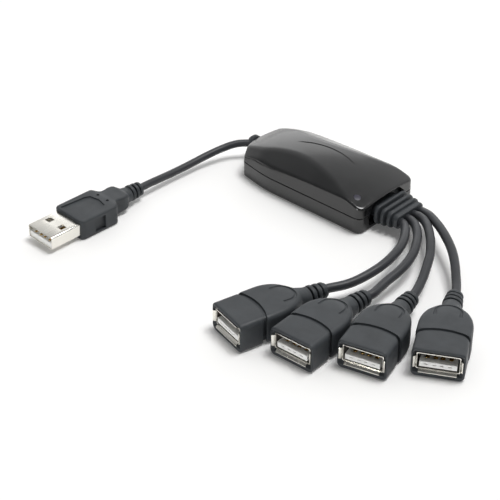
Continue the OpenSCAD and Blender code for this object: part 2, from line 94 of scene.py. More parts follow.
WELD = 2e-7  # metres
SHARP = 38  # degrees above which an edge shows as sharp
HOUSING_SHARP = 50
GRIP_SHARP = 42
CORD_SHARP = 60
GAP = 0.05  # between a piece and what is set into it
CORNER_STEPS = 12
CURVE_STEPS = 5
SECTION_SIDES = 120
BAR_SIDES = 48


def unit(v):
    """A vector of length 1."""
    v = np.asarray(v, float)
    return v / np.linalg.norm(v)


def heading(degrees):
    """The level direction at an angle from X."""
    return np.array([math.cos(math.radians(degrees)), math.sin(math.radians(degrees)), 0])


def smooth(t):
    """0 to 1 with level ends as t goes from 0 to 1."""
    t = np.clip(t, 0, 1)
    return t * t * (3 - 2 * t)


def from_table(y, table):
    """The value at y in a table of (y, value), straight between its rows."""
    return np.interp(y, *zip(*table))


def shade(obj, sharp):
    """Smooth shading with sharp edges above an angle."""
    obj.data.shade_smooth()
    obj.data.set_sharp_from_angle(angle=math.radians(sharp))


def make(name, points, faces, sharp=SHARP):
    """A smooth-shaded object from points in millimetres, with doubled points welded."""
    mesh = bpy.data.meshes.new(name)
    mesh.from_pydata((np.asarray(points) * MM).tolist(), [], faces)
    work = bmesh.new()
    work.from_mesh(mesh)
    bmesh.ops.remove_doubles(work, verts=work.verts, dist=WELD)
    bmesh.ops.recalc_face_normals(work, faces=work.faces)
    work.to_mesh(mesh)
    work.free()
    obj = add_object(name, mesh)
    shade(obj, sharp)
    return obj


def band_faces(count, rings, wrap=False):
    """Four-sided faces between rings of count points each, and from last to first if wrapped."""
    faces = []
    for i in range(rings if wrap else rings - 1):
        here, there = i * count, (i + 1) % rings * count
        for k in range(count):
            after = (k + 1) % count
            faces.append((here + k, here + after, there + after, there + k))
    return faces


def loft(name, rings, wrap=False, sharp=SHARP):
    """A closed skin through rings of points. It has flat ends, or runs back into its first ring."""
    count, n = len(rings[0]), len(rings)
    faces = band_faces(count, n, wrap)
    if not wrap:
        faces += [tuple(range(count))[::-1], tuple(range((n - 1) * count, n * count))]
    return make(name, np.concatenate(rings), faces, sharp)


def combine(target, tool, operation="DIFFERENCE", sharp=SHARP):
    """Cuts the tool out of the target or joins it on, and removes the tool."""
    before = len(target.data.vertices)
    step = target.modifiers.new("step", "BOOLEAN")
    step.operation, step.solver, step.object = operation, "MANIFOLD", tool
    bpy.context.view_layer.update()
    graph = bpy.context.evaluated_depsgraph_get()
    made = bpy.data.meshes.new_from_object(target.evaluated_get(graph))
    target.modifiers.clear()
    if len(made.vertices) == before or not made.vertices:
        raise RuntimeError(f"{target.name}: a boolean step with {tool.name} did nothing")
    old, target.data = target.data, made
    bpy.data.meshes.remove(old)
    bpy.data.objects.remove(tool)
    shade(target, sharp)


def round_corner(a, b, c):
    """The arc that rounds corner b, between its neighbours a and c, with radius b[2]."""
    p = np.array(b[:2], float)
    u, v = unit(np.subtract(a[:2], b[:2])), unit(np.subtract(c[:2], b[:2]))
    half = math.acos(u @ v) / 2
    centre = p + unit(u + v) * b[2] / math.sin(half)
    start = p + u * b[2] / math.tan(half) - centre
    way = -1 if u[0] * v[1] - u[1] * v[0] > 0 else 1
    a0 = math.atan2(start[1], start[0])
    angles = a0 + way * (math.pi - 2 * half) * np.arange(CORNER_STEPS + 1) / CORNER_STEPS
    return [centre + b[2] * np.array([math.cos(t), math.sin(t)]) for t in angles]


def rounded(corners):
    """An outline through corners given as (x, y, radius)."""
    points = []
    for i, corner in enumerate(corners):
        points += round_corner(corners[i - 1], corner, corners[(i + 1) % len(corners)])
    return np.array(points)


def section(half_w, z0, z1, corner, count=SECTION_SIDES):
    """Points round a rounded rectangle in X and Z, evenly spaced from the middle of its top."""
    r = min(corner, half_w, (z1 - z0) / 2)
    quarter = np.linspace(0, math.pi / 2, 17)
    right_half = [(0, z1)]
    right_half += [(half_w - r + r * math.sin(a), z1 - r + r * math.cos(a)) for a in quarter]
    right_half += [(half_w - r + r * math.cos(a), z0 + r - r * math.sin(a)) for a in quarter]
    right_half += [(0, z0)]
    loop = np.array(right_half + [(-x, z) for x, z in right_half[-2::-1]])
    run = np.concatenate([[0], np.cumsum(np.linalg.norm(np.diff(loop, axis=0), axis=1))])
    at = np.linspace(0, run[-1], count, endpoint=False)
    return np.column_stack([np.interp(at, run, loop[:, 0]), np.interp(at, run, loop[:, 1])])


def at_y(y, *shape, count=SECTION_SIDES):
    """A section at a place along Y."""
    xz = section(*shape, count=count)
    return np.column_stack([xz[:, 0], np.full(len(xz), float(y)), xz[:, 1]])


def soft_step(start, end, edge):
    """(place, how far set in) at the two rounded edges of a rib from start to end."""
    bend = [(0, 1), (0.12, 0.5), (0.4, 0.15), (1, 0)]
    first = [(start + edge * a, edge * b) for a, b in bend]
    return first + [(end - edge * a, edge * b) for a, b in bend[::-1]]


def box(name, low, high):
    """A block between two corners, as a tool for combine."""
    xs, ys, zs = zip(low, high)
    corners = [(x, y, z) for x in xs for y in ys for z in zs]
    faces = [(0, 1, 3, 2), (4, 6, 7, 5), (0, 4, 5, 1), (2, 3, 7, 6), (0, 2, 6, 4), (1, 5, 7, 3)]
    return make(name, corners, faces)


def tube_rings(path, radii, first, last, sides=24):
    """Circles of points square to a path that leaves along first and arrives along last."""
    turn = np.arange(sides)[:, None] * TURN / sides
    rings = []
    for i, p in enumerate(path):
        along = first if i == 0 else last if i == len(path) - 1 else unit(path[i + 1] - path[i - 1])
        side = unit(np.cross(along, (0, 0, 1)))
        top = np.cross(side, along)
        rings.append(p + radii[i] * (np.cos(turn) * side + np.sin(turn) * top))
    return rings


def bar_x(name, x0, x1, y, z, r):
    """A round bar along X."""
    ends = np.array([[x0, y, z], [x1, y, z]], float)
    return loft(name, tube_rings(ends, [r, r], X_AXIS, X_AXIS, BAR_SIDES))


def bar_z(name, x, y, z0, z1, r, sides=BAR_SIDES):
    """A round bar along Z."""
    turn = np.arange(sides) * TURN / sides
    xy = np.column_stack([x + r * np.cos(turn), y + r * np.sin(turn)])
    return loft(name, [np.column_stack([xy, np.full(sides, float(z))]) for z in (z0, z1)])


def curve_through(points, first, last):
    """A smooth path through points that leaves along first and arrives along last."""
    p = [np.array(q, float) for q in points]
    p = [p[1] - 2 * first * np.linalg.norm(p[1] - p[0])] + p
    p = p + [p[-2] + 2 * last * np.linalg.norm(p[-1] - p[-2])]
    path = [p[1]]
    for a, b, c, d in zip(p, p[1:], p[2:], p[3:]):
        square, cube = 2 * a - 5 * b + 4 * c - d, 3 * b - a - 3 * c + d
        for t in np.arange(1, CURVE_STEPS + 1) / CURVE_STEPS:
            path.append(0.5 * (2 * b + (c - a) * t + square * t**2 + cube * t**3))
    return path


def turned(points, degrees, at):
    """Points turned about Z at a place in plan."""
    a = math.radians(degrees)
    shift = np.array([at[0], at[1], 0])
    spin = np.array([[math.cos(a), -math.sin(a), 0], [math.sin(a), math.cos(a), 0], [0, 0, 1]])
    return (np.asarray(points) - shift) @ spin.T + shift


def put(obj, at, degrees):
    """Moves an object's mesh from its own frame to its place in plan."""
    spin = Matrix.Rotation(math.radians(degrees), 4, "Z")
    obj.data.transform(Matrix.Translation(Vector((*at, 0)) * MM) @ spin)
    return obj


# ---- materials -----------------------------------------------------------------------------

GLOSS_PATCH = 4  # millimetres across
MOTTLE_PATCH = 7
NOISE_LOW, NOISE_HIGH = 0.3, 0.7  # the part of a noise's range that most of it lies in


def ramp(nodes, links, value, start, end, low, high):
    """A value that runs from low to high as another runs from start to end."""
    node = nodes.new("ShaderNodeMapRange")
    node.inputs["From Min"].default_value, node.inputs["From Max"].default_value = start, end
    node.inputs["To Min"].default_value, node.inputs["To Max"].default_value = low, high
    links.new(value, node.inputs["Value"])
    return node.outputs["Result"]


def material(
    name, colour, rough, metal=0, specular=0.5, mottle=0.12, grain=0.3, bump=0.1, stretch=(1, 1, 1)
):
    """A procedural finish: fine grain in the surface, uneven gloss, and a slight mottle in the
    colour. rough is (lowest, highest), grain is the size of the fine bumps in millimetres."""
    mat = bpy.data.materials.new(name)
    mat.use_nodes = True
    nodes, links = mat.node_tree.nodes, mat.node_tree.links
    shader = nodes["Principled BSDF"]
    shader.inputs["Metallic"].default_value = metal
    shader.inputs["Specular IOR Level"].default_value = specular
    place = nodes.new("ShaderNodeTexCoord")
    mapping = nodes.new("ShaderNodeMapping")
    mapping.inputs["Scale"].default_value = stretch
    links.new(place.outputs["Object"], mapping.inputs["Vector"])

    def noise(size, detail):
        """Noise with lumps of a size in millimetres."""
        node = nodes.new("ShaderNodeTexNoise")
        node.inputs["Scale"].default_value = 1 / MM / size
        node.inputs["Detail"].default_value = detail
        links.new(mapping.outputs["Vector"], node.inputs["Vector"])
        return node.outputs["Fac"]

    gloss = ramp(nodes, links, noise(GLOSS_PATCH, 4), NOISE_LOW, NOISE_HIGH, *rough)
    links.new(gloss, shader.inputs["Roughness"])
    tint = nodes.new("ShaderNodeValToRGB")
    low, high = tint.color_ramp.elements
    low.position, high.position = NOISE_LOW, NOISE_HIGH
    low.color = [c * (1 - mottle) for c in colour] + [1]
    high.color = [min(1, c * (1 + mottle)) for c in colour] + [1]
    links.new(noise(MOTTLE_PATCH, 3), tint.inputs["Fac"])
    links.new(tint.outputs["Color"], shader.inputs["Base Color"])
    relief = nodes.new("ShaderNodeBump")
    relief.inputs["Strength"].default_value = bump
    relief.inputs["Distance"].default_value = grain * MM / 3
    links.new(noise(grain, 2), relief.inputs["Height"])
    links.new(relief.outputs["Normal"], shader.inputs["Normal"])
    return mat


PLASTICS = {
    "housing_plastic": dict(
        colour=(0.012, 0.0125, 0.013), rough=(0.14, 0.22), specular=0.7, grain=0.6, bump=0.01
    ),
    "soft_pvc": dict(
        colour=(0.040, 0.045, 0.050), rough=(0.44, 0.58), specular=0.4, grain=0.25, bump=0.14
    ),
    "cord_pvc": dict(colour=(0.034, 0.036, 0.041), rough=(0.38, 0.5), specular=0.45, grain=0.35),
    "white_plastic": dict(colour=(0.93, 0.93, 0.91), rough=(0.35, 0.5), mottle=0.02, bump=0.05),
    "tinted_lens": dict(
        colour=(0.022, 0.02, 0.04), rough=(0.34, 0.42), mottle=0.05, grain=0.4, bump=0.02
    ),
    "board_green": dict(
        colour=(0.02, 0.13, 0.05), rough=(0.25, 0.4), mottle=0.35, grain=1.2, bump=0.2
    ),
    "chip_black": dict(colour=(0.012, 0.012, 0.013), rough=(0.5, 0.65), grain=0.2, bump=0.2),
    "ceramic_tan": dict(colour=(0.45, 0.31, 0.16), rough=(0.4, 0.55), grain=0.15, bump=0.12),
}
METALS = {
    # painted shade: a darker copy of the shell's metal, put on the walls inside the sockets'
    # openings where shade falls
    "painted_shade_plate": dict(colour=(0.2, 0.19, 0.17), rough=(0.32, 0.45), mottle=0.05, bump=0.06),
    "nickel_plate": dict(
        colour=(0.86, 0.84, 0.78), rough=(0.16, 0.3), mottle=0.03, bump=0.05, stretch=(1, 0.2, 1)
    ),
    "contact_gold": dict(colour=(0.83, 0.55, 0.2), rough=(0.18, 0.3), mottle=0.06, bump=0.04),
    "tin_plate": dict(colour=(0.68, 0.68, 0.66), rough=(0.25, 0.42), mottle=0.05, bump=0.06),
    "copper_wire": dict(colour=(0.78, 0.4, 0.22), rough=(0.2, 0.35), mottle=0.08, bump=0.05),
}
FINISH = {name: material(name, **look) for name, look in PLASTICS.items()}
FINISH |= {name: material(name, metal=1, **look) for name, look in METALS.items()}


def dress(obj, finish):
    """Gives a piece or a CAD node its finish."""
    obj.data.materials.clear()
    obj.data.materials.append(FINISH[finish])
    return obj


def stand_for(obj, node, body, finish):
    """Shows a piece in place of a CAD node, on that node's body."""
    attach(obj, body)
    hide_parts(node)
    return dress(obj, finish)


# ---- cords ---------------------------------------------------------------------------------
# The same routes as the CAD solids follow, from the housing outwards.

LEAD_D = 3.0
LEAD_PITCH = 3.3
RELIEF_END_X = 35.7
RELIEF_Z = 5.2
UPSTREAM_D = 2.6
BOOT_START = np.array([-32.9, 0, 5.8])
BOOT_ANGLE = 220
BOOT_R = 2.1
BOOT_END_R = 1.8
# the boot's rim ends as far from the middle along X as the relief at the other end
BOOT_RUN_X = RELIEF_END_X + BOOT_START[0] + BOOT_END_R * math.sin(math.radians(BOOT_ANGLE))
BOOT_LEN = BOOT_RUN_X / -math.cos(math.radians(BOOT_ANGLE))
BOOT_END = BOOT_START + BOOT_LEN * heading(BOOT_ANGLE)

PORT_AT = [(32.9, -85.6), (54.3, -80.8), (72.6, -70.6), (90.2, -57.4)]
PORT_ANGLE = [75.7, 92.5, 104.8, 118.8]
RELIEF_TURN = [0, -7, -5, -2]
CORD_Z = 4.95
PORT_LEN = 36
NECK_Y = 28.5
PLUG_END = (-43.7, -46.8)
PLUG_ANGLE = 87
PLUG_LEN = 42.8
PLUG_Z = 3.8

LEAD_ROUTES = [
    [
        (39.4, -7.6, 6.1), (41.7, -10.5, 6.6), (44, -14, 6.9), (45.9, -18, 7), (47.1, -22.2, 7),
        (47.8, -26.6, 6.8), (48, -30.9, 6.5), (47.6, -35, 6.1), (46.9, -38.9, 5.7),
        (45.8, -42.6, 5.3), (44.4, -45.7, 5.1), (43, -48, 5), (42.2, -49.5, 5),
    ],
    [
        (38.7, -2.7, 5.7), (41.4, -4.6, 6.2), (44.1, -7.3, 6.6), (46.7, -10.5, 6.9),
        (48.9, -14, 7), (50.9, -17.7, 7), (52.3, -21.6, 6.8), (53.2, -25.7, 6.5),
        (53.6, -29.8, 6.1), (53.6, -33.9, 5.7), (53.7, -36.8, 5.4), (53.9, -39.6, 5.1),
        (54.1, -42.3, 5),
    ],
    [
        (38.6, 1.1, 5.8), (41.4, -0.2, 6.3), (44.1, -2.2, 6.7), (46.6, -4.5, 7), (49, -7.1, 7.2),
        (51.4, -9.8, 7.3), (53.5, -12.6, 7.2), (55.5, -15.5, 6.9), (57.3, -18.7, 6.6),
        (59, -22.2, 6.2), (60.6, -25.6, 5.7), (62.1, -29.4, 5.2), (63.2, -32.6, 5),
        (63.6, -34.2, 5),
    ],
    [
        (38.8, 4.2, 5.8), (42, 2.8, 6.4), (45.1, 1, 6.8), (48, -0.8, 7.1), (50.8, -2.7, 7.3),
        (53.6, -4.7, 7.4), (56.3, -6.7, 7.3), (58.9, -8.8, 7.1), (61.4, -11.1, 6.8),
        (63.8, -13.6, 6.4), (66.1, -16.2, 5.9), (68.3, -18.9, 5.4), (70.3, -21.4, 5.1),
        (71.9, -23.7, 5),
    ],
]
UPSTREAM_ROUTE = [
    (-36.3, -3, 5.8), (-37.7, -4.7, 5.7), (-38.9, -6.7, 5.4), (-39.9, -9, 5), (-40.8, -11.7, 4.6),
    (-41.5, -14.6, 4.2), (-42.1, -17.6, 3.8), (-42.5, -20.8, 3.5), (-42.8, -24.4, 3.3),
    (-43.1, -28, 3.2), (-43.3, -31.6, 3.2), (-43.5, -35.2, 3.3), (-43.6, -38.9, 3.5),
    (-43.7, -42.8, 3.7),
]


def cord_piece(name, points, first, last, diameter, node):
    """A tube along a curved route from the housing to what is on its far end."""
    path = curve_through(points, first, last)
    rings = tube_rings(path, [diameter / 2] * len(path), first, last)
    obj = loft(name, rings, sharp=CORD_SHARP)
    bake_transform(obj)
    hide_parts(node)
    dress(obj, "cord_pvc")
    return obj, path


def lead_entry(i):
    """Where lead i meets its socket, and the way it runs as it gets there."""
    a, b = PORT_ANGLE[i], PORT_ANGLE[i] + RELIEF_TURN[i]
    at = np.array([*PORT_AT[i], CORD_Z]) + NECK_Y * heading(a) + (PORT_LEN - NECK_Y) * heading(b)
    return at, -heading(b)


cords = []
for i in range(4):
    entry, arriving = lead_entry(i)
    start = (RELIEF_END_X, (i - 1.5) * LEAD_PITCH, RELIEF_Z)
    cords.append(
        cord_piece(
            f"socket_lead_{i + 1}", [start, *LEAD_ROUTES[i], entry], X_AXIS, arriving,
            LEAD_D, f"lead_{i + 1}",
        )
    )
plug_cord = cord_piece(
    "plug_lead", [BOOT_END, *UPSTREAM_ROUTE, (*PLUG_END, PLUG_Z)],
    heading(BOOT_ANGLE), -heading(PLUG_ANGLE), UPSTREAM_D, "upstream_cord",
)

# ---- housing -------------------------------------------------------------------------------

HUB_HALF_W = 14.4
HUB_H = 14.8
DOME_R = 90
DOME_X = -1.75
SIDE_H = 10.9
FACET_SLOPE = 32
FACET_RISE = 1
SIDE_LEAN = 6
WALL = 1.5
SPLIT_Z = 5.8
LEAD_END_X = 26.1
FLANK_X = -16
FLANK_R = 45
CORNER_R = 2.5
NOSE = (-33.3, 14)  # x and radius
SHOULDER = (-28, 12)
# x, y and z of a place on each facet at the upstream end, the way that it faces in plan, its
# slope from level, and how softly it meets what is beside it
NOSE_FACET = (-32.3, 0, 8.4, 180, 26, 1)
SIDE_FACETS = [(-28, 12, 7.4, 120, 47, 1), (-21, 13.4, 10.6, 105, 22, 4)]
OUTER_EDGE = 0.55
INNER_EDGE = 0.4
BASE_EDGE = 1.6  # times as soft as the edges above it
SEAM = 0.22

SPINE = (-17, 12)  # the line from which rays find the form, from x to x
END_RAYS = 160
SIDE_RAYS = 90
RAY_LEN = 30.0
HALVINGS = 24

ARCH_HALF_W = 9.2
ARCH_LOW_Z = 1.6
ARCH_TOP_Z = 9.7
BOOT_HOLE_X = (-36, -27)
POST_AT = [(-17, -8), (-17, 8), (16, -7), (16, 7)]
POST_R = 1.5
BOARD_Z = 4.2
LENS_AT = (21.4, -10.3)
LENS_R = 1.2


def hub_outline(inset):
    """The housing in plan at the seam, set in by a wall's thickness."""
    w, front, corner = HUB_HALF_W - inset, LEAD_END_X - inset, CORNER_R - inset
    x, y = SHOULDER[0] + inset, SHOULDER[1] - inset
    return rounded([
        (front, -w, corner), (front, w, corner), (FLANK_X, w, FLANK_R), (x, y, corner),
        (NOSE[0] + inset, 0, NOSE[1]), (x, -y, corner), (FLANK_X, -w, FLANK_R),
    ])


def tilted(turn, slope):
    """The normal of a facet that faces turn in plan and slopes down from level by slope."""
    upright = np.array([0, 0, math.cos(math.radians(slope))])
    return math.sin(math.radians(slope)) * heading(turn) + upright


def hub_facets():
    """(a place on it, its normal, how softly it meets what is beside it) for each facet."""
    *at, turn, slope, softness = NOSE_FACET
    facets = [(at, tilted(turn, slope), softness)]
    lean_in = (SIDE_H - SPLIT_Z) * math.tan(math.radians(SIDE_LEAN))
    for side in (-1, 1):
        crescent = tilted(side * 90, FACET_SLOPE)
        crescent[0] = -crescent[2] * math.sin(math.radians(FACET_RISE))
        facets.append(((0, side * (HUB_HALF_W - lean_in), SIDE_H), unit(crescent), 1))
        for x, y, z, turn, slope, softness in SIDE_FACETS:
            facets.append(((x, side * y, z), tilted(side * turn, slope), softness))
    return facets


def blend_max(a, b, k):
    """The larger of two distances, with the edge between them rounded over k."""
    h = np.clip(k - np.abs(a - b), 0, None) / k
    return np.maximum(a, b) + h * h * k / 4


def hub_depth(p, inset, edge):
    """How far points stand out of the housing's form, set in by a wall's thickness."""
    outline = hub_outline(inset)
    sides = np.roll(outline, -1, axis=0) - outline
    lengths = np.linalg.norm(sides, axis=1)
    normals = np.column_stack([sides[:, 1], -sides[:, 0]]) / lengths[:, None]
    lean = math.tan(math.radians(SIDE_LEAN)) * np.clip(p[:, 2] - SPLIT_Z, 0, None)
    away_from_leads = 1 - np.clip(normals[:, 0], 0, 1) ** 2
    depth = p[:, :2] @ normals.T - np.sum(normals * outline, axis=1)
    depth = (depth + lean[:, None] * away_from_leads).max(axis=1)
    if not inset:
        depth += SEAM * np.clip(1 - np.abs(p[:, 2] - SPLIT_Z) / SEAM, 0, None)
    for at, normal, softness in hub_facets():
        depth = blend_max(depth, (p - at) @ normal + inset, softness * edge)
    dome = np.linalg.norm(p - (DOME_X, 0, HUB_H - DOME_R), axis=1) - DOME_R + inset
    depth = blend_max(depth, dome, edge)
    return blend_max(depth, inset - p[:, 2], BASE_EDGE * edge)


def hub_skin(inset, slopes, edge):
    """Rings of points on the housing's form, found along rays from a line inside it."""
    low_x, high_x = SPINE
    round_end = np.linspace(-90, 90, END_RAYS + 1)[:-1]
    straight = np.linspace(0, 1, SIDE_RAYS, endpoint=False)
    base = np.concatenate([
        np.full(END_RAYS, high_x), high_x + (low_x - high_x) * straight,
        np.full(END_RAYS, low_x), low_x + (high_x - low_x) * straight,
    ])
    turn = np.radians(np.concatenate([
        round_end, np.full(SIDE_RAYS, 90), 180 + round_end, np.full(SIDE_RAYS, 270),
    ]))
    start = np.column_stack([base, np.zeros_like(base), np.full_like(base, SPLIT_Z)])
    rings = []
    for slope in np.radians(slopes):
        level = np.column_stack([np.cos(turn), np.sin(turn)]) * np.cos(slope)
        way = np.column_stack([level, np.full_like(turn, np.sin(slope))])
        near, far = np.zeros(len(base)), np.full(len(base), RAY_LEN)
        for _ in range(HALVINGS):
            middle = (near + far) / 2
            out = hub_depth(start + way * middle[:, None], inset, edge) > 0
            near, far = np.where(out, near, middle), np.where(out, middle, far)
        rings.append(start + way * near[:, None])
    return rings


def hub_shell(name, sign):
    """One half of the housing: the inner skin, the rim at the seam and the outer skin."""
    outer = sign * np.concatenate([[0, 0.35, 0.7, 1.0], np.linspace(1.6, 90, 112)])
    inner = sign * np.linspace(0, 90, 24)
    skins = [*hub_skin(WALL, inner, INNER_EDGE)[::-1], *hub_skin(0, outer, OUTER_EDGE)]
    faces = band_faces(len(skins[0]), len(skins))
    return make(name, np.concatenate(skins), faces, sharp=HOUSING_SHARP)


def arch_tool():
    """The arched opening at the lead end, with a small chamfer round its outside edge."""
    outline = rounded([
        (-ARCH_HALF_W, ARCH_LOW_Z, 1), (ARCH_HALF_W, ARCH_LOW_Z, 1), (ARCH_HALF_W, 6.8, 2),
        (6, ARCH_TOP_Z, 3), (-6, ARCH_TOP_Z, 3), (-ARCH_HALF_W, 6.8, 2),
    ])
    middle = np.array([0, 5.6])
    outward = (outline - middle) / np.linalg.norm(outline - middle, axis=1)[:, None]
    rings = []
    for x, grow in [(23, 0), (25.75, 0), (LEAD_END_X, 0.3), (27.5, 1.5)]:
        yz = outline + outward * grow
        rings.append(np.column_stack([np.full(len(yz), float(x)), yz]))
    return loft("arch_tool", rings)


def dome_z(x, y):
    """The height of the housing's domed top."""
    return HUB_H - DOME_R + math.sqrt(DOME_R**2 - (x - DOME_X) ** 2 - y**2)


def circle_through(a, b, c):
    """The centre of the circle through three points in plan."""
    d = 2 * (a[0] * (b[1] - c[1]) + b[0] * (c[1] - a[1]) + c[0] * (a[1] - b[1]))
    return np.array([
        (a @ a * (b[1] - c[1]) + b @ b * (c[1] - a[1]) + c @ c * (a[1] - b[1])) / d,
        (a @ a * (c[0] - b[0]) + b @ b * (a[0] - c[0]) + c @ c * (b[0] - a[0])) / d,
    ])


def arc_tool():
    """The engraved arc on the top, wide at its upstream end and fine at the other."""
    a, b, c = [np.array(p, float) for p in ((-14, 0), (-2, 3.5), (11.8, 1.1))]
    centre = circle_through(a, b, c)
    radius = np.linalg.norm(a - centre)
    t0, t1 = [math.atan2(*(p - centre)[::-1]) for p in (a, c)]
    path, radii = [], []
    for t in np.linspace(0, 1, 49):
        angle = t0 + (t1 - t0) * t
        x, y = centre + radius * np.array([math.cos(angle), math.sin(angle)])
        path.append(np.array([x, y, dome_z(x, y) + 0.12]))
        radii.append(0.1 + 0.34 * smooth(t / 0.12) * (1 - 0.6 * t) * smooth((1 - t) / 0.1))
    first, last = unit(path[1] - path[0]), unit(path[-1] - path[-2])
    return loft("arc_tool", tube_rings(path, radii, first, last, 16))


def housing_half(name, sign):
    """A half of the housing with its openings for the leads and for the plug's lead."""
    half = hub_shell(name, sign)
    combine(half, arch_tool(), sharp=HOUSING_SHARP)
    hole = bar_x("boot_tool", *BOOT_HOLE_X, 0, SPLIT_Z, BOOT_R + GAP)
    combine(half, hole, sharp=HOUSING_SHARP)
    return half


housing_top = housing_half("housing_top", 1)
lens_tool = bar_z("lens_tool", *LENS_AT, SPLIT_Z, HUB_H, LENS_R + GAP)
combine(housing_top, lens_tool, sharp=HOUSING_SHARP)
combine(housing_top, arc_tool(), sharp=HOUSING_SHARP)
stand_for(housing_top, "top_cover", "hub", "housing_plastic")

housing_base = housing_half("housing_base", -1)
for x, y in POST_AT:
    post = bar_z("post", x, y, WALL - 0.1, BOARD_Z, POST_R)
    combine(housing_base, post, "UNION", sharp=HOUSING_SHARP)
stand_for(housing_base, "bottom_cover", "hub", "housing_plastic")

# ---- strain reliefs of the housing ---------------------------------------------------------

# x from and to, half width, height, corner radius and how soft the edges are
RELIEF_BLOCKS = [
    (22.2, 23.8, 9.9, 6.2, 1, 0.3),
    (26.9, 28.3, 8.4, 6.9, 2.6, 0.5),
    (29.4, 30.8, 8.3, 6.4, 2.6, 0.5),
    (31.8, 33.2, 8.0, 5.8, 2.6, 0.5),
    (33.9, RELIEF_END_X, 7.1, 4.8, 1.8, 0.4),
]
RELIEF_CORE = (6.4, 4, 1.6)
RELIEF_STEP = 0.05
# x and radius where the boot is straight, then share of the bend and radius
BOOT_STRAIGHT = [
    (-27.9, 2.2), (-28.05, 2.5), (-28.85, 2.5), (-28.95, BOOT_R), (-32.25, BOOT_R), (-32.3, 2.7),
    (-32.4, 2.9), (-32.65, 2.9), (-32.75, 2.7), (-32.8, 2.4),
]
BOOT_BEND_X = -32.82
BOOT_BEND = [
    (0.04, 2.4), (0.06, 2.7), (0.12, 2.9), (0.2, 3.0), (0.3, 3.0), (0.45, 2.9), (0.6, 2.65),
    (0.75, 2.35), (0.88, 2.1), (0.96, 1.85), (1, 1.6),
]


def slab_x(x, half_w, height, corner):
    """A rounded section square to X, centred on the leads' height."""
    yz = section(half_w, RELIEF_Z - height / 2, RELIEF_Z + height / 2, corner)
    return np.column_stack([np.full(len(yz), float(x)), yz])


def lead_relief():
    """The ribbed strain relief that the four leads come out of."""
    rings = []
    for i, (x0, x1, half_w, height, corner, edge) in enumerate(RELIEF_BLOCKS):
        if i > 0:
            rings.append(slab_x(x0 - RELIEF_STEP, *RELIEF_CORE))
        for x, inset in soft_step(x0, x1, edge):
            rings.append(slab_x(x, half_w - inset, height - 2 * inset, corner))
        if i < len(RELIEF_BLOCKS) - 1:
            rings.append(slab_x(x1 + RELIEF_STEP, *RELIEF_CORE))
    return loft("lead_relief", rings)


def cord_boot():
    """The boot of the plug's lead, which runs straight through the wall and then bends."""
    path = [np.array([x, 0, BOOT_START[2]]) for x, _ in BOOT_STRAIGHT]
    start = np.array([BOOT_BEND_X, 0, BOOT_START[2]])
    middle = BOOT_START - 0.85 * X_AXIS
    for t, _ in BOOT_BEND:
        path.append((1 - t) ** 2 * start + 2 * t * (1 - t) * middle + t * t * BOOT_END)
    radii = [r for _, r in BOOT_STRAIGHT + BOOT_BEND]
    return loft("cord_boot", tube_rings(path, radii, -X_AXIS, heading(BOOT_ANGLE), BAR_SIDES))


stand_for(lead_relief(), "hub_relief", "hub", "soft_pvc")
stand_for(cord_boot(), "upstream_relief", "hub", "soft_pvc")

# ---- sockets -------------------------------------------------------------------------------

PORT_HALF_W = 7.95
PORT_H = 9.9
PORT_CORNER = 1.6
MOUTH_W = 12.5
MOUTH_H = 5.12
MOUTH_Z = 5.2
SHEET = 0.3
SHELL_LEN = 13.4
LIP_START_Y = 0.7
LIP_END_Y = 1.3
TOP_LIP_W = 11.3
SIDE_LIP_H = 3.9
GROOVE_Y = 10.6
GROOVE_R = 17
LEAF_HALF_W = 8.25
LEAF_START_Y = 9
LEAF_Y = 14
LEAF_R = 15
NECK_HALF_W = 3.2
FLAT_Y = 17
MOULD_END_Y = 21.05
U_MARK_R = 3.9
U_MARK_Y = 20.2
U_MARK_LEG = (18, 18.7, 19.4, 20.1)
CORE_R = 2.2
RINGS = [(30, 3.2), (32.1, 2.95), (34.1, 2.7)]
RING_LEN = 1.3
RING_EDGE = 0.3
RING_STEP = 0.02


def soft_ring(y, length, r):
    """(y, radius) along a ring of a strain relief, with rounded edges."""
    return [(q, r - inset) for q, inset in soft_step(y, y + length, RING_EDGE)]


def leaf_half_w(y):
    """Half width of the grip: wider behind the groove, then rounding in to the neck."""
    if y <= LEAF_Y:
        return PORT_HALF_W + (LEAF_HALF_W - PORT_HALF_W) * smooth((y - LEAF_START_Y) / 1.2)
    bow = min(1, (y - LEAF_Y) / LEAF_R)
    return max(NECK_HALF_W, LEAF_HALF_W - LEAF_R * (1 - math.sqrt(1 - bow * bow)))


def port_fall(y):
    """How far the top has come down at y, and the underside gone up."""
    return (PORT_H / 2 - NECK_HALF_W) * np.clip((y - FLAT_Y) / (NECK_Y - FLAT_Y), 0, 1) ** 2


def groove_bow(y, x):
    """Sections near the groove bow away from the mouth, as the groove does."""
    share = smooth(y / 9) * (1 - smooth((y - 12) / 9))
    return share * (GROOVE_R - np.sqrt(GROOVE_R**2 - x**2))


def port_ring(y, inset=0.0):
    """A section of a socket's grip, in its own frame with the mouth at y = 0."""
    half_w = leaf_half_w(y - groove_bow(y, PORT_HALF_W)) - inset
    fall = port_fall(y) + inset
    corner = PORT_CORNER + 1.6 * smooth((y - 20) / (NECK_Y - 20))
    ring = at_y(y, half_w, fall, PORT_H - fall, corner)
    ring[:, 1] -= groove_bow(y, ring[:, 0])
    return ring


def u_mark_tool():
    """The engraved thumb mark on a socket's top."""
    path = [(-U_MARK_R, y) for y in U_MARK_LEG]
    for a in np.linspace(0.05, math.pi - 0.05, 33):
        path.append((-U_MARK_R * math.cos(a), U_MARK_Y + U_MARK_R * math.sin(a)))
    path += [(U_MARK_R, y) for y in U_MARK_LEG[::-1]]
    path = [np.array([x, y, PORT_H - port_fall(y) + 0.06]) for x, y in path]
    return loft("u_mark_tool", tube_rings(path, [0.5] * len(path), Y_AXIS, -Y_AXIS, 12))


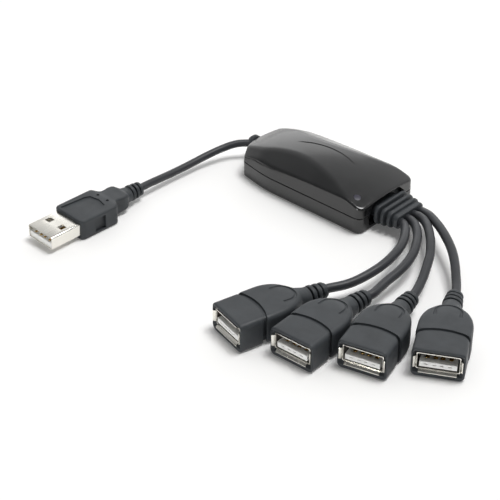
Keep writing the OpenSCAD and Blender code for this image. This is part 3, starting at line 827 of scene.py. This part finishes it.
def mouth_tool():
    """The pocket for the shell, flared at the mouth."""
    rings = []
    for y, grow in [(-1, 0.9), (-0.01, 0.9), (1.1, 0), (SHELL_LEN + GAP, 0)]:
        w, h = MOUTH_W / 2 + SHEET + GAP + grow, MOUTH_H / 2 + SHEET + GAP + grow
        rings.append(at_y(y, w, MOUTH_Z - h, MOUTH_Z + h, 0.3))
    return loft("mouth_tool", rings)


def socket_body(i):
    """The grip of socket i with its strain relief, pocket and thumb mark."""
    rings = [port_ring(y, s) for y, s in [(0, 0.45), (0.06, 0.25), (0.2, 0.08), (0.45, 0)]]
    rings += [port_ring(y) for y in np.arange(1, 9.6, 0.7)]
    groove = [(-0.7, 0), (-0.66, 0.12), (-0.6, 0.4), (-0.45, 0.6)]
    groove += [(-a, depth) for a, depth in reversed(groove)]
    rings += [port_ring(GROOVE_Y + a, depth) for a, depth in groove]
    rings += [port_ring(y) for y in np.arange(11.5, NECK_Y - 0.1, 0.4)]
    rings.append(port_ring(NECK_Y))
    rear = [(29.3, 3.12), (29.55, 2.95), (29.6, CORE_R)]
    for y, r in RINGS:
        rear.append((y - RING_STEP, CORE_R))
        rear += soft_ring(y, RING_LEN, r)
        rear.append((y + RING_LEN + RING_STEP, CORE_R))
    rear.append((PORT_LEN, CORE_R))
    for y, r in rear:
        ring = at_y(y, r, CORD_Z - r, CORD_Z + r, r)
        rings.append(turned(ring, RELIEF_TURN[i], (0, NECK_Y)))
    obj = loft(f"socket_{i + 1}_body", rings, sharp=GRIP_SHARP)
    mould_tool = box("mould_tool", (-4.4, SHELL_LEN - 1, 2.1), (4.4, MOULD_END_Y, 8.2))
    for tool in (mouth_tool(), mould_tool, u_mark_tool()):
        combine(obj, tool, sharp=GRIP_SHARP)
    return obj


def lip(length):
    """One edge of the shell's mouth, curling outwards, along X."""
    inner = [(1.3, 0.02), (0.9, 0.03), (0.55, 0.12), (0.25, 0.3), (0.0, 0.52), (-0.25, 0.78)]
    outer = [(-0.25, 1.02), (-0.05, 1.04), (0.2, 0.72), (0.45, 0.48), (0.75, 0.32), (1.3, 0.28)]
    end = length / 2
    rings = []
    for x, trim in [(-end, 0.06), (-end + 0.1, 0), (end - 0.1, 0), (end, 0.06)]:
        rings.append(np.array([(x, y + trim * (y < 0), z) for y, z in inner + outer]))
    return loft("lip", rings)


def socket_shell(name):
    """The folded metal shell: a rectangular tube with four lips at its mouth."""
    w, h = MOUTH_W / 2, MOUTH_H / 2
    outer = (w + SHEET, MOUTH_Z - h - SHEET, MOUTH_Z + h + SHEET, 0.45)
    inner = (w, MOUTH_Z - h, MOUTH_Z + h, 0.15)
    corners = [(LIP_START_Y, outer), (SHELL_LEN, outer), (SHELL_LEN, inner), (LIP_START_Y, inner)]
    obj = loft(name, [at_y(y, *shape) for y, shape in corners], wrap=True)
    centre = Matrix.Translation(Vector((0, 0, MOUTH_Z)) * MM)
    for turn, (length, out) in enumerate([(TOP_LIP_W, h), (SIDE_LIP_H, w)] * 2):
        edge = lip(length)
        spin = Matrix.Rotation(turn * math.pi / 2, 4, "Y")
        edge.data.transform(centre @ spin @ Matrix.Translation((0, 0, out * MM)))
        combine(obj, edge, "UNION")
    return obj


def paint_shade_inside(shell, at, degrees):
    """Paints shade on the walls inside the opening, behind the lips: they get a darker copy of the
    shell's metal that stands for the shade in there.
    """
    spin = Matrix.Rotation(math.radians(-degrees), 4, "Z")
    back = spin @ Matrix.Translation(Vector((-at[0], -at[1], 0)) * MM)
    shell.data.materials.append(FINISH["painted_shade_plate"])
    half_w, half_h = MOUTH_W / 2 + GAP, MOUTH_H / 2 + GAP
    for face in shell.data.polygons:
        x, y, z = back @ face.center / MM
        if y > LIP_END_Y and abs(x) < half_w and abs(z - MOUTH_Z) < half_h:
            face.material_index = 1


for i in range(4):
    n, body = i + 1, f"port_{i + 1}"
    at, turn = PORT_AT[i], PORT_ANGLE[i] - 90
    grip = stand_for(put(socket_body(i), at, turn), f"port_{n}_grip", body, "soft_pvc")
    shell = put(socket_shell(f"socket_{n}_shell"), at, turn)
    stand_for(shell, f"port_{n}_shell", body, "nickel_plate")
    # painted shade on the shell's walls inside the opening
    paint_shade_inside(shell, at, turn)

# ---- plug ----------------------------------------------------------------------------------

GRIP_HALF_W = 7.15
GRIP_H = 7.2
SHELL_OUT = 11.75
SHELL_IN = 7
SHELL_W = 12
SHELL_H = 4.5
SHELL_END_Y = SHELL_OUT + SHELL_IN
BLOCK_END_Y = 27.4
PLUG_NECK_Y = 38
FRONT_R = 1.55
PLUG_SIDES = 160
# half width, lowest point and highest point of the grip along Y
PLUG_HALF_W = [
    (26.2, GRIP_HALF_W), (26.8, 7.0), (27.3, 6.65), (27.7, 5.9), (28.3, 4.8), (29.0, 4.25),
    (29.8, 4.1), (31.2, 4.3), (32.5, 4.45), (33.9, 4.3), (34.5, 4.0), (35.0, 3.4), (36, 3.1),
    (PLUG_NECK_Y, 2.8),
]
PLUG_LOW = [(BLOCK_END_Y - 0.5, 0), (BLOCK_END_Y + 2, 0.9), (33, 1.5), (PLUG_NECK_Y, 1.7)]
PLUG_HIGH = [(27, GRIP_H), (28.6, 7.0), (34.2, 6.9), (34.9, 6.55), (35.6, 6.2), (PLUG_NECK_Y, 5.9)]
PLUG_CORE_R = 1.9
PLUG_RINGS = [(38.05, 2.8), (39.9, 2.65), (41.6, 2.45)]
PLUG_RING_LEN = 1.15
PANEL_DEPTH = 0.4
RECESS_Y = (17.3, 21.8)
RECESS_Z = (1.0, GRIP_H - 1.3)
RECESS_DEPTH = 0.9
DIMPLE_AT = (2.4, 26.6)
DIMPLE_R = 0.55


def plug_ring(y, inset=0.0):
    """A section of the plug's grip, in its own frame with the tip at y = 0."""
    half_w, low, high = [from_table(y, table) for table in (PLUG_HALF_W, PLUG_LOW, PLUG_HIGH)]
    before_front = np.clip(SHELL_OUT + FRONT_R - y, 0, FRONT_R)
    half_w -= FRONT_R - math.sqrt(FRONT_R**2 - before_front**2)
    corner = 0.75 + 1.9 * smooth((y - 33) / 4)
    return at_y(y, half_w - inset, low + inset, high - inset, corner, count=PLUG_SIDES)


def panel_tool():
    """The shallow panel in the top of the plug's grip, with a bowed rear edge."""
    half = [(5.3, 12.9), (5.1, 15), (4.5, 22.6), (3.7, 24.3), (0, 25.1)]
    plan = np.array(half + [(-x, y) for x, y in half[-2::-1]])
    middle = np.array([0, 18.5])
    rings = []
    for z, grow in [(GRIP_H - PANEL_DEPTH, 0.985), (GRIP_H - 0.05, 1.0), (GRIP_H + 1, 1.02)]:
        xy = middle + (plan - middle) * grow
        rings.append(np.column_stack([xy, np.full(len(xy), z)]))
    return loft("panel_tool", rings)


def plug_tools():
    """What is cut out of the plug's grip: two pockets, the panel, and marks on both sides."""
    w, h = SHELL_W / 2 + GAP, SHELL_H / 2 + GAP
    yield box("shell_tool", (-w, SHELL_OUT - 1, PLUG_Z - h), (w, SHELL_END_Y, PLUG_Z + h))
    yield box("mould_tool", (-5.05, SHELL_END_Y - 1, 1.25), (5.05, SHELL_END_Y + 7.4, 6.35))
    yield panel_tool()
    for side in (-1, 1):
        edge = side * GRIP_HALF_W
        low, high = sorted((edge - side * RECESS_DEPTH, edge + side))
        yield box("recess_tool", (low, RECESS_Y[0], RECESS_Z[0]), (high, RECESS_Y[1], RECESS_Z[1]))
        x, y = DIMPLE_AT
        yield bar_z("dimple_tool", side * x, y, GRIP_H - PANEL_DEPTH, GRIP_H + 1, DIMPLE_R, 20)


def plug_body():
    """The grip of the plug with its strain relief."""
    front = [(0, 0.4), (0.06, 0.2), (0.2, 0.06), (0.4, 0)]
    rings = [plug_ring(SHELL_OUT + y, s) for y, s in front]
    rings += [plug_ring(y) for y in np.arange(12.8, PLUG_NECK_Y, 0.35)]
    rear = [(PLUG_NECK_Y, 2.3)]
    for i, (y, r) in enumerate(PLUG_RINGS):
        if i > 0:
            rear.append((y - RING_STEP, PLUG_CORE_R))
        rear += soft_ring(y, PLUG_RING_LEN, r)
        if i < len(PLUG_RINGS) - 1:
            rear.append((y + PLUG_RING_LEN + 0.05, PLUG_CORE_R))
    rings += [at_y(y, r, PLUG_Z - r, PLUG_Z + r, r, count=PLUG_SIDES) for y, r in rear]
    obj = loft("plug_body", rings)
    for tool in plug_tools():
        combine(obj, tool)
    return obj


PLUG_ORIGIN = np.array([*PLUG_END, 0]) - PLUG_LEN * heading(PLUG_ANGLE)
plug_grip = put(plug_body(), PLUG_ORIGIN[:2], PLUG_ANGLE - 90)
stand_for(plug_grip, "plug_grip", "plug", "soft_pvc")

# ---- CAD nodes that show as they are -------------------------------------------------------

EDGE = 0.04  # width of the bevel on a node's edges
TONGUE_EDGE = 0.12
SOFT_EDGES = {"plug_shell": 0.12, "plug_insulator": 0.1, "indicator_lens": 0.25}
BEVEL_FROM = math.radians(50)
WELD_NODES = 1e-6  # metres

for row in frame["record"]["subparts"]:
    name = row["node"]
    node = frame["nodes"][name]
    if node.hide_render:
        continue
    dress(node, row["material_slot"])
    weld = node.modifiers.new("weld", "WELD")
    weld.merge_threshold = WELD_NODES
    bevel = node.modifiers.new("bevel", "BEVEL")
    bevel.width = SOFT_EDGES.get(name, TONGUE_EDGE if name.endswith("tongue") else EDGE) * MM
    bevel.segments = 2
    bevel.limit_method, bevel.angle_limit = "ANGLE", BEVEL_FROM
    node.data.shade_smooth()

for i, (lead, path) in enumerate(cords):
    [p * MM for p in path]
lead, path = plug_cord
[p * MM for p in path]

# ---- floor and light -----------------------------------------------------------------------
# Places and sizes are in metres.

FLOOR_HALF = 3
FLOOR_COLOUR = (0.95, 0.945, 0.935, 1)
FLOOR_GLOW = 0.08
FADE_FROM, FADE_TO, FADE = 0.4, 1.2, 0.9
TO_BACK = (-0.45, 0.9, 0)
LAMPS_FACE = Vector((0.02, -0.03, 0))


def calculated(nodes, links, operation, *values):
    """The result of a math node. Each value is a number or another node's output."""
    node = nodes.new("ShaderNodeMath")
    node.operation = operation
    for socket, value in zip(node.inputs, values):
        if isinstance(value, (int, float)):
            socket.default_value = value
        else:
            links.new(value, socket)
    return node.outputs[0]


def camera_share(nodes):
    """1 for what the camera sees, 0 for the rest."""
    return nodes.new("ShaderNodeLightPath").outputs["Is Camera Ray"]


def unlit_share(nodes, links):
    """1 for what the camera, a reflection or a refraction sees, 0 for light falling on things."""
    seen = nodes.new("ShaderNodeLightPath").outputs
    total = calculated(nodes, links, "ADD", seen["Is Camera Ray"], seen["Is Glossy Ray"])
    return calculated(nodes, links, "ADD", total, seen["Is Transmission Ray"])


def floor_paper():
    """White paper that keeps the object's shadow, and fades to white far from the object."""
    paper = bpy.data.materials.new("paper")
    paper.use_nodes = True
    nodes, links = paper.node_tree.nodes, paper.node_tree.links
    nodes.clear()
    matte = nodes.new("ShaderNodeBsdfDiffuse")
    matte.inputs["Color"].default_value = FLOOR_COLOUR
    glow = nodes.new("ShaderNodeEmission")
    lift = calculated(nodes, links, "MULTIPLY", unlit_share(nodes, links), FLOOR_GLOW)
    away = nodes.new("ShaderNodeVectorMath")
    away.operation = "LENGTH"
    links.new(nodes.new("ShaderNodeTexCoord").outputs["Object"], away.inputs[0])
    fade = ramp(nodes, links, away.outputs["Value"], FADE_FROM, FADE_TO, 0, FADE)
    shown = calculated(nodes, links, "MULTIPLY_ADD", fade, camera_share(nodes), lift)
    links.new(shown, glow.inputs["Strength"])
    both = nodes.new("ShaderNodeAddShader")
    links.new(matte.outputs[0], both.inputs[0])
    links.new(glow.outputs[0], both.inputs[1])
    links.new(both.outputs[0], nodes.new("ShaderNodeOutputMaterial").inputs["Surface"])
    return paper


def light_world(world):
    """Brighter from behind than from in front, also in reflections, and white to the camera."""
    world.use_nodes = True
    nodes, links = world.node_tree.nodes, world.node_tree.links
    way = nodes.new("ShaderNodeTexCoord").outputs["Generated"]
    split = nodes.new("ShaderNodeSeparateXYZ")
    links.new(way, split.inputs["Vector"])
    dot = nodes.new("ShaderNodeVectorMath")
    dot.operation = "DOT_PRODUCT"
    dot.inputs[1].default_value = TO_BACK
    links.new(way, dot.inputs[0])
    to_back, height = dot.outputs["Value"], split.outputs["Z"]
    falling = ramp(nodes, links, to_back, -0.3, 0.5, 0.04, 0.88)
    reflected = calculated(
        nodes, links, "MULTIPLY",
        ramp(nodes, links, to_back, -0.2, 0.7, 0.2, 1.0),
        ramp(nodes, links, height, 0.25, 0.9, 1.0, 0.5),
    )
    strength = nodes.new("ShaderNodeMapRange")
    links.new(unlit_share(nodes, links), strength.inputs["Value"])
    links.new(falling, strength.inputs["To Min"])
    links.new(reflected, strength.inputs["To Max"])
    shown = calculated(nodes, links, "MAXIMUM", strength.outputs[0], camera_share(nodes))
    background = nodes["Background"]
    background.inputs["Color"].default_value = (1, 1, 1, 1)
    links.new(shown, background.inputs["Strength"])


def soft_light(name, at, size, power):
    """A square lamp that faces the middle of the object."""
    lamp = bpy.data.lights.new(name, "AREA")
    lamp.size, lamp.energy = size, power
    obj = add_object(name, lamp)
    obj.location = at
    obj.rotation_euler = (LAMPS_FACE - Vector(at)).to_track_quat("-Z", "Y").to_euler()


floor = add_object("floor", bpy.data.meshes.new("floor"))
plan = [(x * FLOOR_HALF, y * FLOOR_HALF, 0) for x, y in ((-1, -1), (1, -1), (1, 1), (-1, 1))]
floor.data.from_pydata(plan, [], [(0, 1, 2, 3)])
floor.data.materials.append(floor_paper())
bpy.context.scene.world = bpy.data.worlds.new("studio")
light_world(bpy.context.scene.world)
soft_light("key", (0.35, 0.4, 1.9), 0.75, 25)
soft_light("front", (0.1, -1.3, 0.07), 0.3, 6)
soft_light("back", (-1.0, 1.1, 0.5), 0.8, 1.5)

bpy.context.scene.view_settings.view_transform = "Standard"
